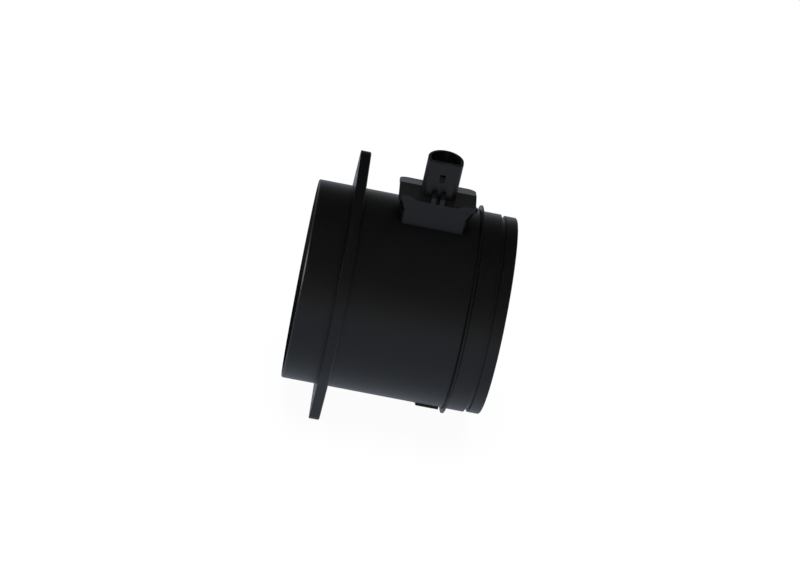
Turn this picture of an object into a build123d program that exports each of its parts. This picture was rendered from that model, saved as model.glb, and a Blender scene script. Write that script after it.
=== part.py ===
from build123d import *
import math
import os

# A hot-film mass airflow sensor for an engine's intake duct: a moulded air tube with a two-eared
# flange, and a plug-in measuring blade whose head carries the electrical connector.
# Frame: +X runs along the tube from inlet to outlet, +Z runs up through the connector, and the
# origin lies on the tube's axis in the mounting face of the flange. All sizes are in millimetres.

# Tube
tube_outer_r = 50.0
tube_wall = 3.5
inlet_length = 17.5           # spigot in front of the flange, which enters the filter box
body_length = 82.2            # mounting face to outlet end
inlet_edge_chamfer = 0.6
outlet_edge_chamfer = 0.4

# Flange with two ears
flange_thickness = 5.2
flange_rim = 5.5              # how far the flange stands out beyond the tube
ear_reach = 9.0               # bolt hole centre beyond the tube's surface
ear_end_r = 9.0
ear_angle = 25.0              # the ears' line is turned this far from the connector's, in degrees
flange_edge_chamfer = 0.5
bolt_hole_r = 3.3
bush_wall = 1.4
bush_proud = 0.2              # the bush stands proud under the bolt head
bush_clearance = 0.03

# Hose end: stop pads, collar, clamp groove and bead
pad_length = 11.4
pad_half_width = 6.5
pad_rise = 0.95
pad_gap = 1.0                 # between the pads and the collar
pad_edge_round = 0.5
hose_length = 19.2            # from the collar's front to the outlet end
collar_width = 2.3
collar_crest = 0.8
collar_rise = 2.65
collar_root = 0.2             # spread of the collar's flanks inside the tube's wall
groove_to_end = 7.95          # from the groove's front to the outlet end
groove_width = 2.2
groove_depth = 1.8
bead_drop = 0.3               # the bead is this much smaller than the tube in radius

# Inlet: honeycomb straightener, screen and ring in a counterbore
counterbore_wall = 2.0
counterbore_stop_x = -3.0     # shoulder that the straightener rests on
straightener_depth = 8.0
straightener_rim = 2.6
cell_flats = 12.5             # hexagonal cell, across flats
cell_wall = 1.0
smallest_cut = 4.0            # a cell or gap that the rim cuts shorter than this is left closed
screen_thickness = 0.5
screen_pitch = 13.0
screen_bar = 1.2
ring_depth = 2.0
inlet_clearance = 0.1         # around the pieces in the counterbore

# Pedestal on the tube for the sensor head
head_x = 39.8                 # centre of the sensor head along the tube
pedestal_rise = 10.0          # tube surface to the joint with the head plate
pedestal_half_length_top = 18.8
pedestal_half_length_foot = 16.5
pedestal_flare = 5.0          # height of the flared part of the end walls, below the joint
pedestal_front = 12.4         # centre line to the front wall at the joint
pedestal_rear = 17.0          # and to the rear wall
pedestal_draft = 0.7          # how much each long wall stands out further at its foot
pedestal_corner_r = 2.4
pedestal_root = 5.0           # drawn this far below the tube's surface, to meet its round
pocket_half_length = 13.7
pocket_half_width = 8.7
pocket_corner_r = 4.0

# Head plate
plate_half_length = 19.0
plate_rear_overhang = 0.5
plate_thickness = 1.5
plate_front_corner_r = 2.4
plate_rear_corner_r = 4.5
plate_slope_start = 4.5       # behind this line the plate and the joint slope to the rear
plate_slope_angle = 16.0      # in degrees
lip_height = 2.0
lip_thickness = 1.4
lip_flat_length = 5.2
lip_slope_length = 4.6
rib_spacing = 4.25
rib_width = 2.3
rib_height = 3.1

# Connector shroud, D-shaped, open at the top
shroud_height = 19.6
shroud_rear_r = 8.75
shroud_centre_y = -0.9        # centre of the round rear
shroud_front_y = -6.5
shroud_front_corner_r = 3.2
shroud_wall = 1.5
socket_floor = 1.5            # above the plate's top
shroud_rim_chamfer = 0.3
slot_width = 2.5
slot_height = 4.4
latch_width = 2.6
latch_top = 6.4               # below the rim
latch_height = 4.3
latch_through = 1.6           # upper part of the window, cut right through

# Plug neck and seal
neck_clearance = 0.2          # neck to pocket
neck_bottom_inset = 1.0       # neck ends this far inside the bore's top
seal_section = 2.2            # width and height of the seal
seal_clearance = 0.02
seal_below_joint = 7.0
seal_groove_slack = 0.3       # the groove is this much taller than the seal

# Measuring blade
blade_half_chord = 12.8
blade_half_thickness = 5.5
blade_length = 52.0           # below the neck
blade_lead_r = 4.0
blade_trail_r = 1.2
blade_base_wall = 1.5
blade_side_wall = 1.6
cover_thickness = 1.3
cover_seat = 0.8
cover_clearance = 0.1
channel_width = 5.5
channel_depth = 5.5
channel_turn_r = 1.2          # inner radius of the U-turn
channel_floor_wall = 1.7      # blade tip below the channel
partition = 2.5               # between the channel and the electronics pocket
exit_length = 7.0
pocket_top_wall = 3.0
leading_block = 4.8           # solid leading edge beside the electronics pocket
exit_window_margin = 0.8      # rim round the outlet window in the bypass lid

# Electronics
inner_clearance = 0.2
base_plate_thickness = 1.0
board_thickness = 0.8
board_inset = 0.8
chip_size = 7.0
chip_height = 1.2
component_length = 2.0
component_width = 1.2
component_height = 0.8
component_columns = 4
component_pitch = 3.4
component_row_gap = 2.2       # from the chip to the middle of a row
sensor_width = 5.0
sensor_thickness = 0.6
sensor_overlap = 3.0          # part of the tongue that lies on the board
sensor_tip_gap = 1.6          # tongue tip to the channel's lower wall

# Terminals
terminal_count = 4
terminal_pitch = 3.0
terminal_width = 1.5
terminal_thickness = 0.6
terminal_y = 0.5
terminal_tip = 5.5            # below the shroud's rim
terminal_foot = 2.4
terminal_tip_chamfer = 0.2
terminal_bend_drop = 1.5      # from the electronics pocket's roof to the bend
terminal_clearance = 0.03

# Air thermistor, strung across a notch in the leading edge
notch_height = 9.0
notch_depth = 3.2
notch_below_neck = 6.0
thermistor_bead_r = 1.1
thermistor_bead_length = 3.3
thermistor_lead_r = 0.3
lead_embedded = 1.5
lead_clearance = 0.03

# Levels and radii that follow from the values above
collar_x = body_length - hose_length
groove_x = body_length - groove_to_end
tube_bore_r = tube_outer_r - tube_wall
counterbore_r = tube_outer_r - counterbore_wall
flange_r = tube_outer_r + flange_rim
ear_centre_r = tube_outer_r + ear_reach
bush_r = bolt_hole_r + bush_wall
joint_z = tube_outer_r + pedestal_rise
plate_top_z = joint_z + plate_thickness
rim_z = plate_top_z + shroud_height
socket_floor_z = plate_top_z + socket_floor
plate_rear = pedestal_rear + plate_rear_overhang
plate_slope = math.tan(math.radians(plate_slope_angle))
neck_half_length = pocket_half_length - neck_clearance
neck_half_width = pocket_half_width - neck_clearance
neck_bottom_z = tube_bore_r - neck_bottom_inset
seal_z = joint_z - seal_below_joint
blade_tip_z = neck_bottom_z - blade_length
inset_r = counterbore_r - inlet_clearance
straightener_x = counterbore_stop_x - straightener_depth
screen_x = straightener_x - screen_thickness
ring_x = screen_x - ring_depth
pocket_floor_y = -blade_half_thickness + blade_base_wall
cover_y = blade_half_thickness - cover_thickness
channel_top_y = pocket_floor_y + channel_depth
turn_outer_r = channel_turn_r + channel_width
turn_x = blade_half_chord - blade_side_wall - turn_outer_r
turn_z = blade_tip_z + channel_floor_wall + turn_outer_r
channel_top_z = turn_z + turn_outer_r
electronics_bottom_z = channel_top_z + partition
electronics_top_z = neck_bottom_z - pocket_top_wall
electronics_x0 = -blade_half_chord + leading_block
electronics_x1 = blade_half_chord - blade_side_wall
board_y = pocket_floor_y + base_plate_thickness
board_top_y = board_y + board_thickness


def block(x0, x1, y0, y1, z0, z1):
    """A box between two corners."""
    centre = Pos((x0 + x1) / 2, (y0 + y1) / 2, (z0 + z1) / 2)
    return centre * Box(x1 - x0, y1 - y0, z1 - z0)


def turned(x0, x1, r0, r1, chamfer_x0=0.0, chamfer_x1=0.0):
    """A ring or disc about the tube's axis, with its outer corners chamfered if asked."""
    section = Pos((x0 + x1) / 2, (r0 + r1) / 2) * Rectangle(x1 - x0, r1 - r0)
    if chamfer_x0 > 0:
        section = chamfer(section.vertices().group_by(Axis.Y)[-1].sort_by(Axis.X)[0], chamfer_x0)
    if chamfer_x1 > 0:
        section = chamfer(section.vertices().group_by(Axis.Y)[-1].sort_by(Axis.X)[-1], chamfer_x1)
    return revolve(section, Axis.X)


def at_head(shape):
    """Carry a shape drawn about the head's own centre line to its place on the tube."""
    return Pos(head_x, 0, 0) * shape


def rounded_prism(half_length, half_width, corner_r, z0, z1):
    """An upright prism with a rounded rectangular plan."""
    plan = RectangleRounded(2 * half_length, 2 * half_width, corner_r)
    return Pos(0, 0, z0) * extrude(plan, z1 - z0)


def ear_position(sign):
    """Rotation and shift that put a shape at one ear's bolt hole."""
    return Rot(-ear_angle, 0, 0) * Pos(0, 0, sign * ear_centre_r)


def flange_plate():
    """Round flange drawn out to two opposite ears by straight tangents."""
    outline = Circle(flange_r)
    for sign in (1, -1):
        outline += Pos(0, sign * ear_centre_r) * Circle(ear_end_r)
    outline = make_hull(outline.edges())
    plate = extrude(Plane.YZ * outline, flange_thickness)
    plate = chamfer(plate.faces().sort_by(Axis.X)[-1].edges(), flange_edge_chamfer)
    return Rot(-ear_angle, 0, 0) * plate


def stop_pad(sign):
    """Flat-topped pad on the tube in line with an ear, which stops the hose clamp."""
    end_x = collar_x - pad_gap
    pad = block(end_x - pad_length, end_x, -pad_half_width, pad_half_width,
                tube_bore_r + tube_wall / 2, tube_outer_r + pad_rise)
    pad = fillet(pad.edges().filter_by(Axis.X).group_by(Axis.Z)[-1], pad_edge_round)
    return Rot(-ear_angle + (0 if sign > 0 else 180), 0, 0) * pad


def hose_collar():
    """Raised collar with sloping flanks that the hose butts against."""
    flank = (collar_width - collar_crest) / 2
    inner = tube_outer_r - tube_wall / 2
    outer = tube_outer_r + collar_rise
    section = make_face(Polyline(
        (collar_x - collar_root, inner),
        (collar_x, tube_outer_r),
        (collar_x + flank, outer),
        (collar_x + flank + collar_crest, outer),
        (collar_x + collar_width, tube_outer_r),
        (collar_x + collar_width + collar_root, inner),
        close=True,
    ))
    return revolve(section, Axis.X)


def bent_down(y, z):
    """A level z of the head, lowered behind the line where the plate and the joint slope."""
    return z - max(0.0, y - plate_slope_start) * plate_slope


def pedestal():
    """Pod with upright end walls that flare under the joint, and a top that slopes at the rear."""
    top, foot = pedestal_half_length_top, pedestal_half_length_foot
    flare_z = joint_z - pedestal_flare
    foot_z = tube_outer_r - pedestal_root
    side = make_face(Polyline(
        (-top, joint_z), (top, joint_z), (foot, flare_z), (foot, foot_z), (-foot, foot_z), (-foot, flare_z),
        close=True,
    ))
    end = Polyline(
        (-pedestal_front, joint_z),
        (plate_slope_start, joint_z),
        (pedestal_rear, bent_down(pedestal_rear, joint_z)),
        (pedestal_rear + pedestal_draft, foot_z),
        (-pedestal_front - pedestal_draft, foot_z),
        close=True,
    )
    along = extrude(Plane.XZ * side, pedestal_rear + pedestal_draft + 1, both=True)
    across = extrude(Plane.YZ * make_face(end), top + 1, both=True)
    pod = along & across
    level = pod.edges().filter_by(lambda edge: abs(edge.tangent_at(0).Z) < 0.5)
    return fillet(pod.edges() - level, pedestal_corner_r)


def tube_housing():
    """The one-piece moulding: tube, flange, ears, hose end and pedestal."""
    body = turned(-inlet_length, groove_x, 0, tube_outer_r, chamfer_x0=inlet_edge_chamfer)
    body += turned(groove_x, groove_x + groove_width, 0, tube_outer_r - groove_depth)
    body += turned(groove_x + groove_width, body_length, 0, tube_outer_r - bead_drop,
                   chamfer_x1=outlet_edge_chamfer)
    body += flange_plate()
    body += hose_collar()
    for sign in (1, -1):
        body += stop_pad(sign)
    body += at_head(pedestal())
    body -= turned(-inlet_length - 1, body_length + 1, 0, tube_bore_r)
    body -= turned(-inlet_length - 1, counterbore_stop_x, 0, counterbore_r)
    body -= at_head(rounded_prism(pocket_half_length, pocket_half_width, pocket_corner_r, 0, joint_z + 1))
    for sign in (1, -1):
        hole = extrude(Plane.YZ * Circle(bush_r + bush_clearance), flange_thickness)
        body -= ear_position(sign) * hole
    return body


def ear_bush(sign):
    """Steel sleeve that takes the bolt's load through the plastic ear."""
    sleeve = Circle(bush_r) - Circle(bolt_hole_r)
    return ear_position(sign) * extrude(Plane.YZ * sleeve, flange_thickness + bush_proud)


def flow_straightener():
    """Honeycomb in a round rim that cuts its outer cells short."""
    inner_r = inset_r - straightener_rim
    pitch = cell_flats + cell_wall
    row_step = pitch * math.sqrt(3) / 2
    rows = int(inner_r / row_step) + 1
    columns = int(inner_r / pitch) + 2
    cells = Sketch()
    for row in range(-rows, rows + 1):
        for column in range(-columns, columns + 1):
            y = (column + (row % 2) / 2) * pitch
            z = row * row_step
            if math.hypot(y, z) < inner_r + cell_flats / 2 - smallest_cut:
                cells += Pos(y, z) * RegularPolygon(cell_flats / math.sqrt(3), 6, rotation=30)
    plate = extrude(Plane.YZ * (Circle(inset_r) - (cells & Circle(inner_r))), straightener_depth)
    return Pos(straightener_x, 0, 0) * plate


def inlet_screen():
    """Wire screen as a thin disc with square gaps, cut short by its solid edge."""
    gap = screen_pitch - screen_bar
    edge_r = inset_r - straightener_rim
    reach = int(edge_r / screen_pitch) + 1
    gaps = Sketch()
    for row in range(-reach, reach + 1):
        for column in range(-reach, reach + 1):
            y, z = column * screen_pitch, row * screen_pitch
            if math.hypot(y, z) < edge_r + gap / 2 - smallest_cut:
                gaps += Pos(y, z) * Rectangle(gap, gap)
    disc = Circle(inset_r) - (gaps & Circle(edge_r))
    return Pos(screen_x, 0, 0) * extrude(Plane.YZ * disc, screen_thickness)


def screen_ring():
    """Ring that presses the screen on the straightener."""
    return turned(ring_x, screen_x, inset_r - straightener_rim, inset_r)


def plate_outline(z0, z1):
    """Upright prism of the head plate's plan, with larger corners at the rear."""
    plan = Pos(0, (plate_rear - pedestal_front) / 2) * Rectangle(
        2 * plate_half_length, plate_rear + pedestal_front)
    plan = fillet(plan.vertices().group_by(Axis.Y)[0], plate_front_corner_r)
    plan = fillet(plan.vertices().group_by(Axis.Y)[-1], plate_rear_corner_r)
    return Pos(0, 0, z0) * extrude(plan, z1 - z0)


def front_lip(sign):
    """Raised lip on the plate's front edge, from one end to a slope near the middle."""
    end = sign * plate_half_length
    flat = sign * (plate_half_length - lip_flat_length)
    foot = sign * (plate_half_length - lip_flat_length - lip_slope_length)
    top_z = plate_top_z + lip_height
    profile = make_face(Polyline(
        (end, joint_z), (end, top_z), (flat, top_z), (foot, plate_top_z), (foot, joint_z), close=True,
    ))
    lip = Pos(0, -pedestal_front, 0) * extrude(Plane.XZ * profile, -lip_thickness)
    return lip & plate_outline(joint_z, top_z + 1)


def head_plate():
    """Plate that closes the pedestal: flat in front, bent down at the rear, with lips and two ribs."""
    profile = make_face(Polyline(
        (-pedestal_front, joint_z), (-pedestal_front, plate_top_z), (plate_slope_start, plate_top_z),
        (plate_rear, bent_down(plate_rear, plate_top_z)), (plate_rear, bent_down(plate_rear, joint_z)),
        (plate_slope_start, joint_z), close=True,
    ))
    plate = extrude(Plane.YZ * profile, plate_half_length, both=True)
    plate = plate & plate_outline(bent_down(plate_rear, joint_z) - 1, plate_top_z + 1)
    for sign in (1, -1):
        plate += front_lip(sign)
        x = sign * rib_spacing / 2
        plate += block(x - rib_width / 2, x + rib_width / 2, -pedestal_front,
                       shroud_front_y, joint_z, plate_top_z + rib_height)
    return plate


def shroud_plan(inset):
    """D-shaped outline, flat in front and round at the rear, moved inwards by a wall."""
    r = shroud_rear_r - inset
    front_y = shroud_front_y + inset
    corner_r = shroud_front_corner_r - inset
    bulge = corner_r * (1 - math.sqrt(0.5))
    return make_face(Curve() + [
        ThreePointArc((-r, shroud_centre_y), (0, shroud_centre_y + r), (r, shroud_centre_y)),
        Line((r, shroud_centre_y), (r, front_y + corner_r)),
        ThreePointArc((r, front_y + corner_r), (r - bulge, front_y + bulge), (r - corner_r, front_y)),
        Line((r - corner_r, front_y), (corner_r - r, front_y)),
        ThreePointArc((corner_r - r, front_y), (bulge - r, front_y + bulge), (-r, front_y + corner_r)),
        Line((-r, front_y + corner_r), (-r, shroud_centre_y)),
    ])


def latch_window():
    """Window in the shroud's front wall: open above, with a ramp below."""
    top = rim_z - latch_top
    y0 = shroud_front_y - 1
    profile = make_face(Polyline(
        (y0, top), (shroud_front_y + shroud_wall + 1, top),
        (shroud_front_y + shroud_wall + 1, top - latch_through),
        (shroud_front_y + shroud_wall, top - latch_through),
        (shroud_front_y, top - latch_height), (y0, top - latch_height), close=True,
    ))
    return extrude(Plane.YZ * profile, latch_width / 2, both=True)


def connector_shroud():
    """Open socket for the plug, with a latch window and two slots in its front wall."""
    shroud = Pos(0, 0, joint_z) * extrude(shroud_plan(0), rim_z - joint_z)
    shroud = chamfer(shroud.faces().sort_by(Axis.Z)[-1].edges(), shroud_rim_chamfer)
    shroud -= Pos(0, 0, socket_floor_z) * extrude(shroud_plan(shroud_wall), rim_z - socket_floor_z + 1)
    shroud -= latch_window()
    for sign in (1, -1):
        x = sign * rib_spacing / 2
        shroud -= block(x - slot_width / 2, x + slot_width / 2, shroud_front_y - 1,
                        shroud_front_y + 2 * shroud_wall, plate_top_z, plate_top_z + slot_height)
    return shroud


def channel_plan(grow):
    """U-shaped bypass channel: in at the leading edge, round the turn and back below."""
    middle_r = channel_turn_r + channel_width / 2
    half = channel_width / 2 + grow
    upper = Pos((turn_x - blade_half_chord - 1) / 2, turn_z + middle_r) * Rectangle(
        turn_x + blade_half_chord + 1, 2 * half)
    lower = Pos(turn_x - exit_length / 2, turn_z - middle_r) * Rectangle(exit_length, 2 * half)
    turn = Circle(middle_r + half) - Circle(middle_r - half)
    turn -= Pos(-turn_outer_r, 0) * Rectangle(2 * turn_outer_r, 4 * turn_outer_r)
    return upper + lower + Pos(turn_x, turn_z) * turn


def from_front(sketch, y0, y1):
    """Extrude a sketch of the blade's side view between two levels across its thickness."""
    return Pos(0, y1, 0) * extrude(Plane.XZ * sketch, y1 - y0)


def electronics_plan(inset):
    """Outline of the electronics pocket in the blade's side view."""
    width = electronics_x1 - electronics_x0 - 2 * inset
    height = electronics_top_z - electronics_bottom_z - 2 * inset
    centre = Pos((electronics_x0 + electronics_x1) / 2, (electronics_top_z + electronics_bottom_z) / 2)
    return centre * Rectangle(width, height)


def bypass_plan(inset):
    """Outline of the lid over the bypass channel."""
    z0 = blade_tip_z + cover_seat + inset
    z1 = electronics_bottom_z - partition / 2 - inset
    length = 2 * (blade_half_chord - cover_seat - inset)
    lid = Pos(0, (z0 + z1) / 2) * Rectangle(length, z1 - z0)
    return fillet(lid.vertices().group_by(Axis.Y)[0], blade_lead_r - cover_seat)


def electronics_lid_plan(inset):
    """Outline of the lid over the electronics pocket."""
    z0 = electronics_bottom_z - partition / 2 + cover_clearance + inset
    z1 = electronics_top_z + cover_seat - inset
    x0 = electronics_x0 - cover_seat + inset
    x1 = electronics_x1 + cover_seat - inset
    return Pos((x0 + x1) / 2, (z0 + z1) / 2) * Rectangle(x1 - x0, z1 - z0)


def blade_blank():
    """Outer form of the measuring blade: rounded leading edge and rounded tip."""
    plan = Rectangle(2 * blade_half_chord, 2 * blade_half_thickness)
    plan = fillet(plan.vertices().group_by(Axis.X)[0], blade_lead_r)
    plan = fillet(plan.vertices().group_by(Axis.X)[-1], blade_trail_r)
    blade = Pos(0, 0, blade_tip_z) * extrude(plan, blade_length)
    side = Pos(0, blade_tip_z + blade_length / 2) * Rectangle(2 * blade_half_chord, blade_length)
    side = fillet(side.vertices().group_by(Axis.Y)[0], blade_lead_r)
    return blade & from_front(side, -blade_half_thickness, blade_half_thickness)


def blade_cuts():
    """Electronics pocket, bypass channel, lid seats, tongue slot and thermistor notch."""
    cuts = from_front(electronics_plan(0), pocket_floor_y, blade_half_thickness + 1)
    cuts += from_front(electronics_lid_plan(0), cover_y, blade_half_thickness + 1)
    cuts += from_front(channel_plan(0), pocket_floor_y, blade_half_thickness)
    cuts += from_front(bypass_plan(0), cover_y, blade_half_thickness + 1)
    slot_half = sensor_width / 2 + inner_clearance
    cuts += block(-slot_half, slot_half, board_top_y - inner_clearance,
                  cover_y, channel_top_z - 1, electronics_bottom_z + 1)
    notch_top = neck_bottom_z - notch_below_neck
    cuts += block(-blade_half_chord - 1, -blade_half_chord + notch_depth, -blade_half_thickness - 1,
                  blade_half_thickness + 1, notch_top - notch_height, notch_top)
    return cuts


def lead_line():
    """Centre of the thermistor in the notch."""
    x = -blade_half_chord + notch_depth / 2
    z = neck_bottom_z - notch_below_neck - notch_height / 2
    return x, z


def thermistor_wire(radius):
    """Straight lead on each side of the bead, its end set in the blade."""
    x, z = lead_line()
    reach = notch_height / 2 + lead_embedded
    return Pos(x, 0, z) * Cylinder(radius, 2 * reach)


def thermistor_bead():
    """Small bead on the middle of the wire."""
    x, z = lead_line()
    bead = Pos(x, 0, z) * Cylinder(thermistor_bead_r, thermistor_bead_length)
    return bead - thermistor_wire(thermistor_lead_r)


def terminal_x(index):
    """Place of one terminal along the row."""
    return (index - (terminal_count - 1) / 2) * terminal_pitch


def terminal(index, grow=0.0):
    """Contact tab: up into the socket, down through the neck and over on to the board."""
    t = terminal_thickness
    half = terminal_width / 2 + grow
    x = terminal_x(index)
    top_z = rim_z - terminal_tip
    bend_z = electronics_top_z - terminal_bend_drop
    foot_z = bend_z - t - terminal_foot
    y0, y1 = terminal_y - t / 2 - grow, terminal_y + t / 2 + grow
    tab = block(x - half, x + half, y0, y1, bend_z - t, top_z)
    if grow == 0:
        tip = tab.faces().sort_by(Axis.Z)[-1].edges().filter_by(Axis.X)
        tab = chamfer(tip, terminal_tip_chamfer)
        tab += block(x - half, x + half, board_top_y, y1, bend_z - t, bend_z)
        tab += block(x - half, x + half, board_top_y, board_top_y + t, foot_z, bend_z)
    return tab


def inside_pocket(offset, height):
    """Upright prism at the seal's level, its wall a given distance inside the pocket's wall."""
    return rounded_prism(pocket_half_length - offset, pocket_half_width - offset,
                         pocket_corner_r - offset, seal_z - height / 2, seal_z + height / 2)


def head_seal():
    """Square-section ring in the neck's groove, against the pocket's wall."""
    outer = inside_pocket(seal_clearance, seal_section)
    return outer - inside_pocket(seal_clearance + seal_section, seal_section)


def seal_groove():
    """Groove round the plug neck for the seal."""
    height = seal_section + seal_groove_slack
    return inside_pocket(0, height) - inside_pocket(seal_section + 2 * seal_clearance, height)


def sensor_carrier():
    """The second moulding: head plate, shroud, plug neck and measuring blade."""
    carrier = head_plate()
    carrier += connector_shroud()
    carrier += rounded_prism(neck_half_length, neck_half_width, pocket_corner_r - neck_clearance,
                             neck_bottom_z, joint_z)
    carrier += blade_blank()
    carrier -= seal_groove()
    carrier -= blade_cuts()
    carrier -= thermistor_wire(thermistor_lead_r + lead_clearance)
    for index in range(terminal_count):
        carrier -= terminal(index, terminal_clearance)
    return carrier


def electronics_cover():
    """Lid that lies flush in its seat over the electronics."""
    return from_front(electronics_lid_plan(cover_clearance), cover_y, blade_half_thickness)


def bypass_cover():
    """Lid of the bypass channel: its raised floor fills the channel down to its depth."""
    cover = from_front(bypass_plan(cover_clearance), cover_y, blade_half_thickness)
    plug = from_front(channel_plan(-cover_clearance), channel_top_y, cover_y)
    plug = plug & block(-blade_half_chord + cover_seat, blade_half_chord, channel_top_y, cover_y,
                        blade_tip_z, channel_top_z)
    lower_z = turn_z - turn_outer_r
    window = block(turn_x - exit_length + exit_window_margin, turn_x - exit_window_margin,
                   channel_top_y - 1, blade_half_thickness + 1,
                   lower_z + exit_window_margin, lower_z + channel_width - exit_window_margin)
    return cover + plug - window


def base_plate():
    """Aluminium plate on the pocket's floor, under the board."""
    return from_front(electronics_plan(inner_clearance), pocket_floor_y, board_y)


def circuit_board():
    """Board on the base plate."""
    return from_front(electronics_plan(board_inset), board_y, board_top_y)


def on_board(x, z, length, height, thickness):
    """A part lying on the board, placed by its centre."""
    return block(x - length / 2, x + length / 2, board_top_y, board_top_y + thickness,
                 z - height / 2, z + height / 2)


def board_centre():
    """Centre of the board in the blade's side view."""
    return (electronics_x0 + electronics_x1) / 2, (electronics_bottom_z + electronics_top_z) / 2


def processor_chip():
    """Square package in the middle of the board."""
    x, z = board_centre()
    chip = on_board(x, z, chip_size, chip_size, chip_height)
    return chamfer(chip.faces().sort_by(Axis.Y)[-1].edges(), chip_height / 5)


def board_components():
    """Two rows of small capacitors and resistors above and below the chip."""
    x, z = board_centre()
    row = Part()
    for side in (1, -1):
        row_z = z + side * (chip_size / 2 + component_row_gap)
        for column in range(component_columns):
            column_x = x + (column - (component_columns - 1) / 2) * component_pitch
            row += on_board(column_x, row_z, component_length, component_width, component_height)
    return row


def sensing_element():
    """Hot-film tongue on the board's lower edge, reaching into the upper run of the channel."""
    upper_z0 = channel_top_z - channel_width
    z0 = upper_z0 + sensor_tip_gap
    z1 = electronics_bottom_z + board_inset + sensor_overlap
    return block(-sensor_width / 2, sensor_width / 2, board_top_y, board_top_y + sensor_thickness, z0, z1)


def write(name, shape):
    """Write one piece as parts/NAME.step."""
    export_step(shape, f"parts/{name}.step")


os.makedirs("parts", exist_ok=True)
write("tube_housing", tube_housing())
write("ear_bush_upper", ear_bush(1))
write("ear_bush_lower", ear_bush(-1))
write("flow_straightener", flow_straightener())
write("inlet_screen", inlet_screen())
write("screen_ring", screen_ring())
write("sensor_carrier", at_head(sensor_carrier()))
write("head_seal", at_head(head_seal()))
write("electronics_cover", at_head(electronics_cover()))
write("bypass_cover", at_head(bypass_cover()))
write("base_plate", at_head(base_plate()))
write("circuit_board", at_head(circuit_board()))
write("processor_chip", at_head(processor_chip()))
write("board_components", at_head(board_components()))
write("sensing_element", at_head(sensing_element()))
write("thermistor_bead", at_head(thermistor_bead()))
write("thermistor_leads", at_head(thermistor_wire(thermistor_lead_r)))
for index in range(terminal_count):
    write(f"terminal_{index + 1}", at_head(terminal(index)))
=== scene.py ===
# %% [markdown]
# # A mass airflow sensor in the studio
# The part is a black moulded tube that sits in an engine's air intake. A flange with two ears bolts
# it to the filter box, and a plug-in head on top carries a measuring blade down into the air. The
# solid shapes come ready made from the CAD model, so this file only adds what CAD can't: the finish
# of each material, the finely woven inlet screen, the honeycomb behind it, the light and the camera.
#
# Blender measures in metres, and so does this file: 0.0018 is 1.8 mm. The tube lies along x, with
# its inlet towards -x, and z points up.

import math

import bpy
from mathutils import Matrix, Vector


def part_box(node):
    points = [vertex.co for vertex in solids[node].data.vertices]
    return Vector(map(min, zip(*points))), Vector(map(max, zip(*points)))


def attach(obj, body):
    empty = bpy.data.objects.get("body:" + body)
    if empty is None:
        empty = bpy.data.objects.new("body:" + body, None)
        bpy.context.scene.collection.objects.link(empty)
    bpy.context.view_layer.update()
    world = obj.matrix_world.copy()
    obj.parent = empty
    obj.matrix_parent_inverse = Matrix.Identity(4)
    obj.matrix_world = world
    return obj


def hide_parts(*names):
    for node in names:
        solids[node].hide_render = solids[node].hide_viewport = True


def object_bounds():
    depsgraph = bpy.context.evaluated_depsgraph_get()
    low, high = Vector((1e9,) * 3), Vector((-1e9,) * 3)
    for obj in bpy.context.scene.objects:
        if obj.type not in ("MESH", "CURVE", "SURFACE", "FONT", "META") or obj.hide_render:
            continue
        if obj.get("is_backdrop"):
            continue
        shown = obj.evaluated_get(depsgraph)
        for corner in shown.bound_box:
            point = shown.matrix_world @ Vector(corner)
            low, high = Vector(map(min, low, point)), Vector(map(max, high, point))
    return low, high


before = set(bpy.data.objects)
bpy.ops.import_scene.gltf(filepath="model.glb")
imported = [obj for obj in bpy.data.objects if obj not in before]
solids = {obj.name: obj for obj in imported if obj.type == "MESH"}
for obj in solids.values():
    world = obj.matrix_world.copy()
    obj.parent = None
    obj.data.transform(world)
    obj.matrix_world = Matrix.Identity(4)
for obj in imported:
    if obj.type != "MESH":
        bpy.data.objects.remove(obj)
cad_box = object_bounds()
print("solids:", len(solids), "box in mm:", [round(v * 1000, 1) for v in (*cad_box[0], *cad_box[1])])

# %% [markdown]
# ## Shader arithmetic
# A finish is mostly sums: a little more roughness here, a little less there. Blender adds numbers in
# a material with Math nodes, which are slow to place by hand. So one small class wraps a socket, and
# a sum written in Python adds its Math node. Colours go through a Mix node instead, because a Math
# node would turn them grey.

# %% A socket that can be added and multiplied
class Wire:
    """A socket of a material that understands Python's arithmetic."""

    def __init__(self, finish, socket):
        self.finish = finish
        self.socket = socket

    def math(self, operation, first, second):
        """One Math node. Each side is a wire or a number."""
        return self.finish.add("ShaderNodeMath", {"operation": operation}, {0: first, 1: second})

    def __add__(self, other):
        return self.math("ADD", self, other)

    def __sub__(self, other):
        return self.math("SUBTRACT", self, other)

    def __rsub__(self, other):
        return self.math("SUBTRACT", other, self)

    def __mul__(self, other):
        return self.math("MULTIPLY", self, other)

    def __pow__(self, power):
        return self.math("POWER", self, power)

    def at_most(self, other):
        return self.math("MINIMUM", self, other)

    def at_least(self, other):
        return self.math("MAXIMUM", self, other)

    __radd__ = __add__
    __rmul__ = __mul__


print("sockets can be added, subtracted, multiplied and raised to a power")

# %% [markdown]
# One method adds every other kind of node. It takes the node's type, then its settings, then what
# goes into its sockets, and gives back the output as a wire. So a finish reads from top to bottom
# like a recipe. The nodes that several finishes share get a short name of their own.

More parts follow.
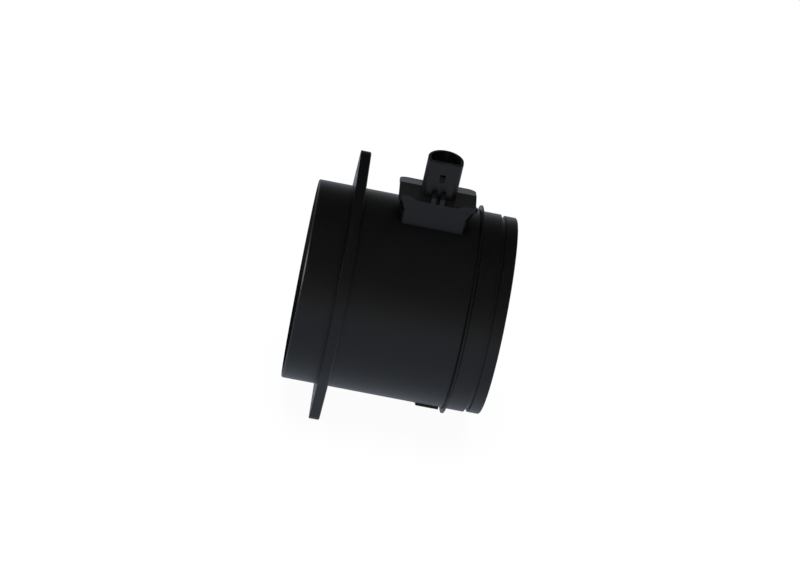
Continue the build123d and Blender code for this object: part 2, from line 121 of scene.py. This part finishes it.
# %% A node tree that is built like a recipe
class Finish:
    """The node tree of a new material, or of the world."""

    def __init__(self, owner):
        self.owner = owner
        owner.use_nodes = True
        self.tree = owner.node_tree
        self.tree.nodes.clear()

    def add(self, kind, settings=None, sockets=None, output=0):
        """Add a node: its settings first, then the values or wires of its sockets."""
        node = self.tree.nodes.new(kind)
        for key, value in (settings or {}).items():
            setattr(node, key, value)
        for key, value in (sockets or {}).items():
            if isinstance(value, Wire):
                self.tree.links.new(value.socket, node.inputs[key])
            else:
                node.inputs[key].default_value = value
        return Wire(self, node.outputs[output]) if node.outputs else None

    def dot(self, first, second):
        """The dot product of two directions: 1 where they agree, 0 where they cross squarely."""
        sockets = {0: first, 1: second}
        return self.add("ShaderNodeVectorMath", {"operation": "DOT_PRODUCT"}, sockets, output="Value")

    def mix_colour(self, factor, first, second):
        """Blend two colours by a wire that runs from 0 to 1."""
        # A Mix node has a set of sockets for every kind of data. Colours use 6 and 7, and output 2.
        sockets = {0: factor, 6: first, 7: second}
        return self.add("ShaderNodeMix", {"data_type": "RGBA"}, sockets, output=2)

    def noise(self, place, size, detail=2.0, roughness=0.5):
        """Cloudy noise from 0 to 1, with lumps of the given size."""
        sockets = {"Vector": place, "Scale": 1.0 / size, "Detail": detail, "Roughness": roughness}
        return self.add("ShaderNodeTexNoise", None, sockets)

    def bump(self, height, normal):
        """The normal of a surface that stands up by the given height."""
        sockets = {"Strength": 1.0, "Distance": 1.0, "Height": height, "Normal": normal}
        return self.add("ShaderNodeBump", None, sockets)

    def material(self, sockets):
        """End the recipe with its shader and output, and give back the material."""
        shader = self.add("ShaderNodeBsdfPrincipled", None, sockets)
        self.add("ShaderNodeOutputMaterial", None, {"Surface": shader})
        return self.owner


def new_finish(name):
    """The empty recipe of a new material."""
    return Finish(bpy.data.materials.new(name))


def shade(red, green, blue):
    """A colour with full alpha."""
    return (red, green, blue, 1.0)


white = shade(1.0, 1.0, 1.0)
print("finishes are built with Finish(...).add(...)")

# %% [markdown]
# ## Where the surface lies
# Textures need a place to start from. The object coordinates of every piece are the part's own frame
# in metres, so a lump of noise 0.4 mm wide is 0.4 mm on the part, whichever piece carries it.
#
# Moulded edges are never quite sharp. The Bevel node bends the normal round an edge without touching
# the mesh, and where its normal differs from the true one there is an edge. That difference is the
# edge mask, which paints a highlight: a slightly paler colour along each edge, where light would
# catch.

# %% Place, rounded normal and edge mask
bevel_samples = 6
edge_gain = 4.0


def place_of(finish):
    """The point on the part."""
    return finish.add("ShaderNodeTexCoord", output="Object")


def rounded_normal(finish, radius):
    """The normal as if every edge were rounded by a small radius."""
    return finish.add("ShaderNodeBevel", {"samples": bevel_samples}, {"Radius": radius})


def edge_mask(finish, rounded):
    """1 on an edge and 0 on open surface."""
    true_normal = finish.add("ShaderNodeNewGeometry", output="Normal")
    return ((1.0 - finish.dot(rounded, true_normal)) * edge_gain).at_most(1.0)


print("place, rounded normal and edge mask ready")

# %% [markdown]
# Every finish here is a little duller in some places than in others. Noise runs from 0 to 1 about a
# mean of a half, so adding it would also make the whole surface duller. Half of what it can add is
# taken off again, and the dullness that a recipe asks for stays the mean.

# %% Roughness that varies about its mean
def mottled_roughness(dullness, clouds, cloud_share, grain, grain_share):
    """A roughness that slow clouds and a fine grain move up and down from its mean."""
    least = dullness - (cloud_share + grain_share) / 2
    return clouds * cloud_share + grain * grain_share + least


print("roughness varies about its mean")

# %% [markdown]
# ## Black moulded plastic
# The tube and the sensor head are glass-filled plastic from a smooth mould. Such a surface is very
# dark by itself, and nearly all that is seen of it is the soft reflection of what stands round it. So
# the base colour stays close to black, and the care goes into the reflection: slow waves where the
# thick walls shrank, a fine grain from the mould, and cloudy patches that are a little duller. One
# colour with one roughness would be quicker, but a real moulding never gleams so evenly.
#
# The roughness never falls under 0.28. A smoother plastic would show the room's edges, and the
# renderer's noise filter also starts to leave specks there.

# %% The black plastics
moulded_edge = 0.00012
wave_size = 0.011
sheen_size = 0.016
mould_grain_size = 0.0005
# The paler tint along edges is a painted highlight. The paler tint in the clouds is random tone.
paler_times, paler_plus = 2.2, 0.002
painted_edge_highlight, paler_in_clouds = 0.3, 0.3


def black_plastic(name, tint, dullness, grain_depth, wave_depth):
    """Moulded plastic with its waves, grain and cloudy sheen."""
    finish = new_finish(name)
    place = place_of(finish)
    rounded = rounded_normal(finish, moulded_edge)
    edge = edge_mask(finish, rounded)
    clouds = finish.noise(place, sheen_size, detail=3.0)
    waves = finish.noise(place, wave_size, detail=1.0)
    grain = finish.noise(place, mould_grain_size, roughness=0.6)
    # Painted highlight: edges get the paler tint, as if they caught the light. In the clouds the same
    # tint is random tone.
    highlight_and_cloud_tint = shade(*(paler_times * v + paler_plus for v in tint))
    highlight_and_cloud_paleness = edge * painted_edge_highlight + clouds * paler_in_clouds
    return finish.material({
        "Base Color": finish.mix_colour(highlight_and_cloud_paleness, shade(*tint), highlight_and_cloud_tint),
        "Roughness": mottled_roughness(dullness, clouds, 0.08, grain, 0.03),
        "IOR": 1.5,
        "Normal": finish.bump(waves * wave_depth + grain * grain_depth, rounded),
    })


housing_plastic = black_plastic("housing_black", (0.0026, 0.0027, 0.0031), dullness=0.335,
                                grain_depth=0.0000006, wave_depth=0.000030)
head_plastic = black_plastic("head_black", (0.0044, 0.0046, 0.0048), dullness=0.345,
                             grain_depth=0.0000006, wave_depth=0.000014)
satin_plastic = black_plastic("satin_black", (0.006, 0.006, 0.0065), dullness=0.46,
                              grain_depth=0.000004, wave_depth=0.000010)
print("black plastics:", housing_plastic.name, head_plastic.name, satin_plastic.name)

# %% [markdown]
# ## Metals
# Four kinds of metal are on the part: zinc-plated steel in the ears' bushes, bright wire in the
# screen and the bead's leads, tin-plated brass in the terminals and plain aluminium under the circuit
# board. A metal has no colour but that of its reflection, so each gets its own tint, cloudy dull
# patches and a grain. One tint alone would look like foil.

# %% The metals
metal_edge = 0.00015
dull_patch_size = 0.003


def bare_metal(name, tint, dull_tint, dullness, grain_size, grain_depth):
    """Metal with cloudy dull patches and a fine grain."""
    finish = new_finish(name)
    place = place_of(finish)
    rounded = rounded_normal(finish, metal_edge)
    clouds = finish.noise(place, dull_patch_size, detail=3.0)
    grain = finish.noise(place, grain_size, roughness=0.6)
    return finish.material({
        "Base Color": finish.mix_colour(clouds, shade(*tint), shade(*dull_tint)),
        "Metallic": 1.0,
        "Roughness": mottled_roughness(dullness, clouds, 0.14, grain, 0.06),
        "Normal": finish.bump(grain * grain_depth, rounded),
    })


bush_steel = bare_metal("zinc_steel", (0.62, 0.62, 0.60), (0.44, 0.45, 0.44),
                        dullness=0.34, grain_size=0.0003, grain_depth=0.000004)
screen_wire = bare_metal("bright_wire", (0.66, 0.65, 0.62), (0.50, 0.49, 0.46),
                         dullness=0.26, grain_size=0.0002, grain_depth=0.000001)
tinned_brass = bare_metal("tinned_brass", (0.74, 0.72, 0.66), (0.60, 0.56, 0.46),
                          dullness=0.28, grain_size=0.0003, grain_depth=0.000002)
base_aluminium = bare_metal("aluminium", (0.80, 0.80, 0.79), (0.66, 0.66, 0.66),
                            dullness=0.34, grain_size=0.0004, grain_depth=0.000003)
print("metals:", bush_steel.name, screen_wire.name, tinned_brass.name, base_aluminium.name)

# %% [markdown]
# ## Inside the blade
# The rest is small and mostly hidden: a rubber seal, a white ceramic board, its chip and capacitors,
# and the film and bead that feel the air. They aren't metal, so one recipe with a colour, a second
# colour for its mottling and a roughness covers them all.

# %% Rubber, ceramic and the like
small_edge = 0.0001
mottle_size = 0.002


def plain_solid(name, tint, second_tint, dullness, grain_size, grain_depth):
    """Rubber, ceramic or resin, mottled between two close colours."""
    finish = new_finish(name)
    place = place_of(finish)
    clouds = finish.noise(place, mottle_size, detail=3.0)
    grain = finish.noise(place, grain_size, roughness=0.6)
    return finish.material({
        "Base Color": finish.mix_colour(clouds, shade(*tint), shade(*second_tint)),
        "Roughness": mottled_roughness(dullness, clouds, 0.10, grain, 0.10),
        "Normal": finish.bump(grain * grain_depth, rounded_normal(finish, small_edge)),
    })


seal_rubber = plain_solid("seal_rubber", (0.010, 0.016, 0.012), (0.018, 0.026, 0.020),
                          dullness=0.62, grain_size=0.0003, grain_depth=0.00001)
board_ceramic = plain_solid("board_ceramic", (0.78, 0.77, 0.72), (0.70, 0.69, 0.64),
                            dullness=0.55, grain_size=0.0003, grain_depth=0.000003)
chip_resin = plain_solid("chip_resin", (0.014, 0.014, 0.015), (0.022, 0.022, 0.023),
                         dullness=0.50, grain_size=0.0002, grain_depth=0.000004)
chip_ceramic = plain_solid("chip_ceramic", (0.40, 0.29, 0.19), (0.32, 0.23, 0.15),
                           dullness=0.45, grain_size=0.0002, grain_depth=0.000003)
film_glaze = plain_solid("film_glaze", (0.27, 0.32, 0.36), (0.20, 0.25, 0.30),
                         dullness=0.22, grain_size=0.0004, grain_depth=0.000001)
bead_resin = plain_solid("bead_resin", (0.30, 0.11, 0.03), (0.22, 0.07, 0.02),
                         dullness=0.20, grain_size=0.0003, grain_depth=0.000002)
print("small finishes:", seal_rubber.name, board_ceramic.name, chip_resin.name,
      chip_ceramic.name, film_glaze.name, bead_resin.name)

# %% [markdown]
# ## Dress the CAD solids
# The solids keep their shapes and places. All that each one needs is its finish in its material
# slot, and a table by name shows at a glance that none is left out.

# %% Give every CAD solid its finish
finish_of = {
    "tube_housing": housing_plastic, "sensor_carrier": head_plastic,
    "screen_ring": satin_plastic, "electronics_cover": satin_plastic, "bypass_cover": satin_plastic,
    "flow_straightener": satin_plastic, "inlet_screen": screen_wire,
    "ear_bush_upper": bush_steel, "ear_bush_lower": bush_steel,
    "head_seal": seal_rubber, "base_plate": base_aluminium, "circuit_board": board_ceramic,
    "processor_chip": chip_resin, "board_components": chip_ceramic, "sensing_element": film_glaze,
    "thermistor_bead": bead_resin, "thermistor_leads": screen_wire,
    "terminal_1": tinned_brass, "terminal_2": tinned_brass,
    "terminal_3": tinned_brass, "terminal_4": tinned_brass,
}
for name, solid in solids.items():
    for slot in solid.material_slots:
        slot.material = finish_of[name]
print("finished solids:", len(finish_of))

# %% [markdown]
# ## The woven inlet screen
# Dust and insects are kept out by a fine wire screen. Its wires pass over and under each other, which
# the CAD disc with square gaps only stands in for. A pattern of wires in the disc's material would do
# from afar, but near by it would look printed. So each wire is a thin tube that follows a wave: up
# over one crossing wire and down under the next. Neighbours start on opposite sides, and the two
# directions are half a wave apart, so at every crossing one wire lies in front and the other behind,
# pressed together a little, as they are in a rolled screen.

# %% A mesh piece from points and faces
def new_piece(name, points, faces, material, smooth):
    """A mesh object that rides on the part."""
    mesh = bpy.data.meshes.new(name)
    mesh.from_pydata(points, [], faces)
    mesh.materials.append(material)
    mesh.polygons.foreach_set("use_smooth", [smooth] * len(mesh.polygons))
    mesh.update()
    piece = bpy.data.objects.new(name, mesh)
    bpy.context.scene.collection.objects.link(piece)
    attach(piece, "root")
    return piece


def add_tube(points, faces, centres, sideways, radius):
    """Add a four-sided tube along a line of centres that wave along x."""
    first = len(points)
    forward = Vector((1, 0, 0))
    corners = (sideways, forward, -sideways, -forward)
    for centre in centres:
        points.extend((centre + corner * radius)[:] for corner in corners)
    for ring in range(len(centres) - 1):
        low, high = first + 4 * ring, first + 4 * ring + 4
        faces.extend((low + k, low + (k + 1) % 4, high + (k + 1) % 4, high + k) for k in range(4))
    last = first + 4 * (len(centres) - 1)
    faces.append((first + 3, first + 2, first + 1, first))
    faces.append((last, last + 1, last + 2, last + 3))


print("tube helper ready")

# %% Weave the screen
screen_low, screen_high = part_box("inlet_screen")
screen_x = (screen_low.x + screen_high.x) / 2
screen_inset = 0.0003
screen_r = (screen_high.z - screen_low.z) / 2 - screen_inset
wire_pitch = 0.0018
wire_r = 0.00014
wire_clearance = 0.00001
wire_swing = (screen_high.x - screen_low.x) / 2 - wire_r - wire_clearance
wires_each_side = int(screen_r / wire_pitch)
side_y, side_z = Vector((0, 1, 0)), Vector((0, 0, 1))

screen_points, screen_faces = [], []
for across, along, half_waves in ((side_y, side_z, 0), (side_z, side_y, 1)):
    for wire in range(-wires_each_side, wires_each_side + 1):
        offset = wire * wire_pitch
        steps = int(2 * math.sqrt(screen_r ** 2 - offset ** 2) / wire_pitch)
        centres = []
        for step in range(-steps, steps + 1):
            swing = wire_swing * math.cos(math.pi * (step / 2 + wire + half_waves))
            on_disc = across * offset + along * (step * wire_pitch / 2)
            centres.append(on_disc + Vector((screen_x + swing, 0, 0)))
        add_tube(screen_points, screen_faces, centres, across, wire_r)
woven_screen = new_piece("woven_screen", screen_points, screen_faces,
                         screen_wire, smooth=True)
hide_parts("inlet_screen")
print("screen wires:", 2 * (2 * wires_each_side + 1), "faces:", len(screen_faces))

# %% [markdown]
# ## The honeycomb
# Behind the screen a honeycomb combs the turbulence out of the air. The CAD solid has wide cells to
# stay light. The real ones are small and thin-walled, and the rim cuts the outer ones short. An Array
# modifier could repeat one cell, but it couldn't fit the outer ones to the rim. So every cell of a
# hexagonal grid that lies mostly inside the rim is kept, and the grid's outer corners are moved on to
# the rim's circle. Then each cell's hole is its outline, shrunk a little.

# %% Lay out the honeycomb's cells
comb_low, comb_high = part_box("flow_straightener")
comb_outer_r = (comb_high.z - comb_low.z) / 2
comb_rim = 0.0026
comb_r = comb_outer_r - comb_rim
cell_pitch = 0.0056
cell_wall = 0.0005
row_pitch = cell_pitch * math.sqrt(3) / 2
corner_r = cell_pitch / math.sqrt(3)
corner_digits = 5
least_inside = 0.0008


def cell_corners(column, row):
    """The six corners of one cell of the grid, to 0.01 mm, so that neighbours share them."""
    y = (column + row % 2 / 2) * cell_pitch
    z = row * row_pitch
    corners = []
    for k in range(6):
        angle = math.radians(30 + 60 * k)
        corner = (y + corner_r * math.cos(angle), z + corner_r * math.sin(angle))
        corners.append(tuple(round(v, corner_digits) for v in corner))
    return corners


def middle_of(corners):
    """The middle of a cell's six corners."""
    return sum(y for y, z in corners) / 6, sum(z for y, z in corners) / 6


reach = int(comb_r / row_pitch) + 1
cells = []
for row in range(-reach, reach + 1):
    for column in range(-reach, reach + 1):
        corners = cell_corners(column, row)
        if math.hypot(*middle_of(corners)) < comb_r - least_inside:
            cells.append(corners)
uses = {}
for corners in cells:
    for corner in corners:
        uses[corner] = uses.get(corner, 0) + 1
print("cells:", len(cells), "corners:", len(uses))

# %% Build the honeycomb
def on_rim(corner):
    """A corner that fewer than three cells share moves out to the rim, and so does one beyond it."""
    distance = math.hypot(*corner)
    if uses[corner] < 3 or distance > comb_r:
        return (corner[0] * comb_r / distance, corner[1] * comb_r / distance)
    return corner


comb_points, comb_faces = [], []
hole_share = 1 - cell_wall / cell_pitch
for corners in cells:
    outline = [on_rim(corner) for corner in corners]
    y_middle, z_middle = middle_of(outline)
    hole = [(y_middle + (y - y_middle) * hole_share, z_middle + (z - z_middle) * hole_share)
            for y, z in outline]
    first = len(comb_points)
    front_outline, front_hole, back_outline, back_hole = (first + 6 * ring for ring in range(4))
    for x in (comb_low.x, comb_high.x):
        comb_points.extend((x, y, z) for y, z in outline + hole)
    for k in range(6):
        n = (k + 1) % 6
        comb_faces.append((front_outline + k, front_outline + n, front_hole + n, front_hole + k))
        comb_faces.append((back_hole + k, back_hole + n, back_outline + n, back_outline + k))
        comb_faces.append((front_hole + k, front_hole + n, back_hole + n, back_hole + k))
print("honeycomb faces before its rim:", len(comb_faces))

# %% Add the rim and finish the honeycomb
rim_steps = 180
rim_section = (
    (comb_low.x, comb_r), (comb_low.x, comb_outer_r),
    (comb_high.x, comb_outer_r), (comb_high.x, comb_r),
)
rim_first = len(comb_points)
for step in range(rim_steps):
    angle = 2 * math.pi * step / rim_steps
    for x, r in rim_section:
        comb_points.append((x, r * math.cos(angle), r * math.sin(angle)))
for step in range(rim_steps):
    here, there = rim_first + 4 * step, rim_first + 4 * ((step + 1) % rim_steps)
    for k in range(4):
        comb_faces.append((here + k, here + (k + 1) % 4, there + (k + 1) % 4, there + k))
honeycomb = new_piece("honeycomb", comb_points, comb_faces,
                      satin_plastic, smooth=False)
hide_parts("flow_straightener")
print("honeycomb faces:", len(comb_faces))

# %% [markdown]
# ## Floor and background
# The part lies on a plain pale floor that runs on into a white background. More light on a grey floor
# would turn it white too, but it would also wash out the part. So the floor glows for the camera
# alone, which Light Path's Is Camera Ray picks out. Its own diffuse part takes the light and keeps
# the shadow.
#
# A second, weaker glow goes to the reflections in plastic and metal. It is a little blue, as a white
# floor is in the shade, and it is what gives the tube's underside its lighter tone.

# %% Floor
floor_z = cad_box[0].z
floor_half = 8.0
floor_mesh = bpy.data.meshes.new("floor")
corner_signs = ((-1, -1), (1, -1), (1, 1), (-1, 1))
floor_corners = [(x * floor_half, y * floor_half, floor_z) for x, y in corner_signs]
floor_mesh.from_pydata(floor_corners, [], [(0, 1, 2, 3)])
floor = bpy.data.objects.new("floor", floor_mesh)
bpy.context.scene.collection.objects.link(floor)
floor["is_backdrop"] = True
print("floor at z in mm:", round(floor_z * 1000, 2))

# %% Floor finish
seen_strength = 0.964
mirrored_strength = 0.423

floor_finish = new_finish("pale_floor")
to_camera = floor_finish.add("ShaderNodeLightPath", output="Is Camera Ray")
to_gloss = floor_finish.add("ShaderNodeLightPath", output="Is Glossy Ray")
to_glass = floor_finish.add("ShaderNodeLightPath", output="Is Transmission Ray")
seen_glow = floor_finish.add("ShaderNodeEmission", None, {
    "Color": white, "Strength": to_camera * seen_strength,
})
mirrored_glow = floor_finish.add("ShaderNodeEmission", None, {
    "Color": shade(0.86, 0.95, 1.10), "Strength": (to_gloss + to_glass) * mirrored_strength,
})
matt = floor_finish.add("ShaderNodeBsdfDiffuse", None, {"Color": shade(0.050, 0.053, 0.056)})
glows = floor_finish.add("ShaderNodeAddShader", None, {0: seen_glow, 1: mirrored_glow})
everything = floor_finish.add("ShaderNodeAddShader", None, {0: glows, 1: matt})
floor_finish.add("ShaderNodeOutputMaterial", None, {"Surface": everything})
floor_mesh.materials.append(floor_finish.owner)
print("floor finish:", floor_finish.owner.name)

# %% [markdown]
# The world is the room round the floor. The camera sees it white like the floor. A white room would
# lie on the black plastic as a grey veil, so the part itself sees a dim one. It is brightest near the
# horizon and in front, where the room is open, and nearly dark overhead, so the tube's tone falls
# smoothly from its underside to its top.

# %% World
horizon_light, front_light, least_light = 0.24, 0.175, 0.009

world = bpy.data.worlds.new("room")
bpy.context.scene.world = world
room = Finish(world)
direction = room.add("ShaderNodeTexCoord", output="Generated")


def towards(axis):
    """How far the looked-at direction points along an axis, and 0 if it points away."""
    return room.dot(direction, axis).at_least(0.0)


low = 1.0 - towards((0.0, 0.0, 1.0))
front = towards((0.0, -1.0, 0.0))
dim_room = low ** 3 * horizon_light + front ** 2 * front_light + least_light
seen = room.add("ShaderNodeLightPath", output="Is Camera Ray")
backdrop = room.add("ShaderNodeBackground", None, {
    "Color": white, "Strength": seen + (1.0 - seen) * dim_room,
})
room.add("ShaderNodeOutputWorld", None, {"Surface": backdrop})
print("world:", world.name)

# %% [markdown]
# ## Lamps
# Two soft panels do the lighting. The large one overhead gives the floor and every surface its plain,
# even level. It is left out of reflections, because it would lie as a grey sheen on the tube's upper
# half. The small one stands low beyond the inlet, where the round tube can't mirror it into the lens.
# Only the chamfer round the inlet can, so that edge shows as a fine, paler line.

# %% Soft panels
lamp_aim = Vector((0.032, 0.0, 0.0))


def soft_panel(name, place, size, watts, mirrored):
    """A square area lamp turned towards the part."""
    lamp = bpy.data.lights.new(name, "AREA")
    lamp.shape = "SQUARE"
    lamp.size = size
    lamp.energy = watts
    panel = bpy.data.objects.new(name, lamp)
    panel.location = place
    panel.rotation_euler = (lamp_aim - Vector(place)).to_track_quat("-Z", "Y").to_euler()
    panel.visible_glossy = mirrored
    bpy.context.scene.collection.objects.link(panel)


soft_panel("overhead_panel", (0.0, -0.3, 1.8), size=1.6, watts=36.0, mirrored=False)
soft_panel("inlet_panel", (-1.8, -0.05, 0.30), size=0.6, watts=7.0, mirrored=True)
print("panels: 2")

# %% [markdown]
# ## Camera
# The camera looks down at the part from the front at 30 degrees, and is rolled so that the tube's
# axis falls to the right. A long lens from 1.3 m keeps the tube's two ends nearly the same size, so
# its sides stay almost parallel.

# %% Camera
camera_distance = 1.3
look_down = math.radians(30)
camera_y, camera_z = -camera_distance * math.cos(look_down), camera_distance * math.sin(look_down)
camera_place = Vector((-0.044, camera_y, camera_z))
camera_aim = Vector((0.0317, 0.0, 0.00659))
camera_roll = math.radians(10.965)

backward = (camera_place - camera_aim).normalized()
level = Vector((1, 0, 0)) - backward * backward.x
level.normalize()
upright = backward.cross(level)
right = level * math.cos(camera_roll) + upright * math.sin(camera_roll)
up = backward.cross(right)

camera_data = bpy.data.cameras.new("camera")
camera_data.sensor_width = 36.0
camera_data.lens = 117.9
camera = bpy.data.objects.new("camera", camera_data)
camera_turn = Matrix((right, up, backward)).transposed().to_4x4()
camera.matrix_world = Matrix.Translation(camera_place) @ camera_turn
bpy.context.scene.collection.objects.link(camera)
bpy.context.scene.camera = camera
bpy.context.scene.view_settings.view_transform = "Standard"
print("camera to aim in mm:", round((camera_place - camera_aim).length * 1000))

# %% [markdown]
# ## The size stays
# The CAD model is right about every size, so dressing it must not make it larger. Both boxes are
# measured: the CAD model's from the start, and the dressed part's from now, and the growth is
# printed.

# %% Check the size and finish
new_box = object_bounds()
growth = [round((n - c) * 1000, 2) for old, new in zip(cad_box, new_box) for c, n in zip(old, new)]
print("grew by mm:", growth)
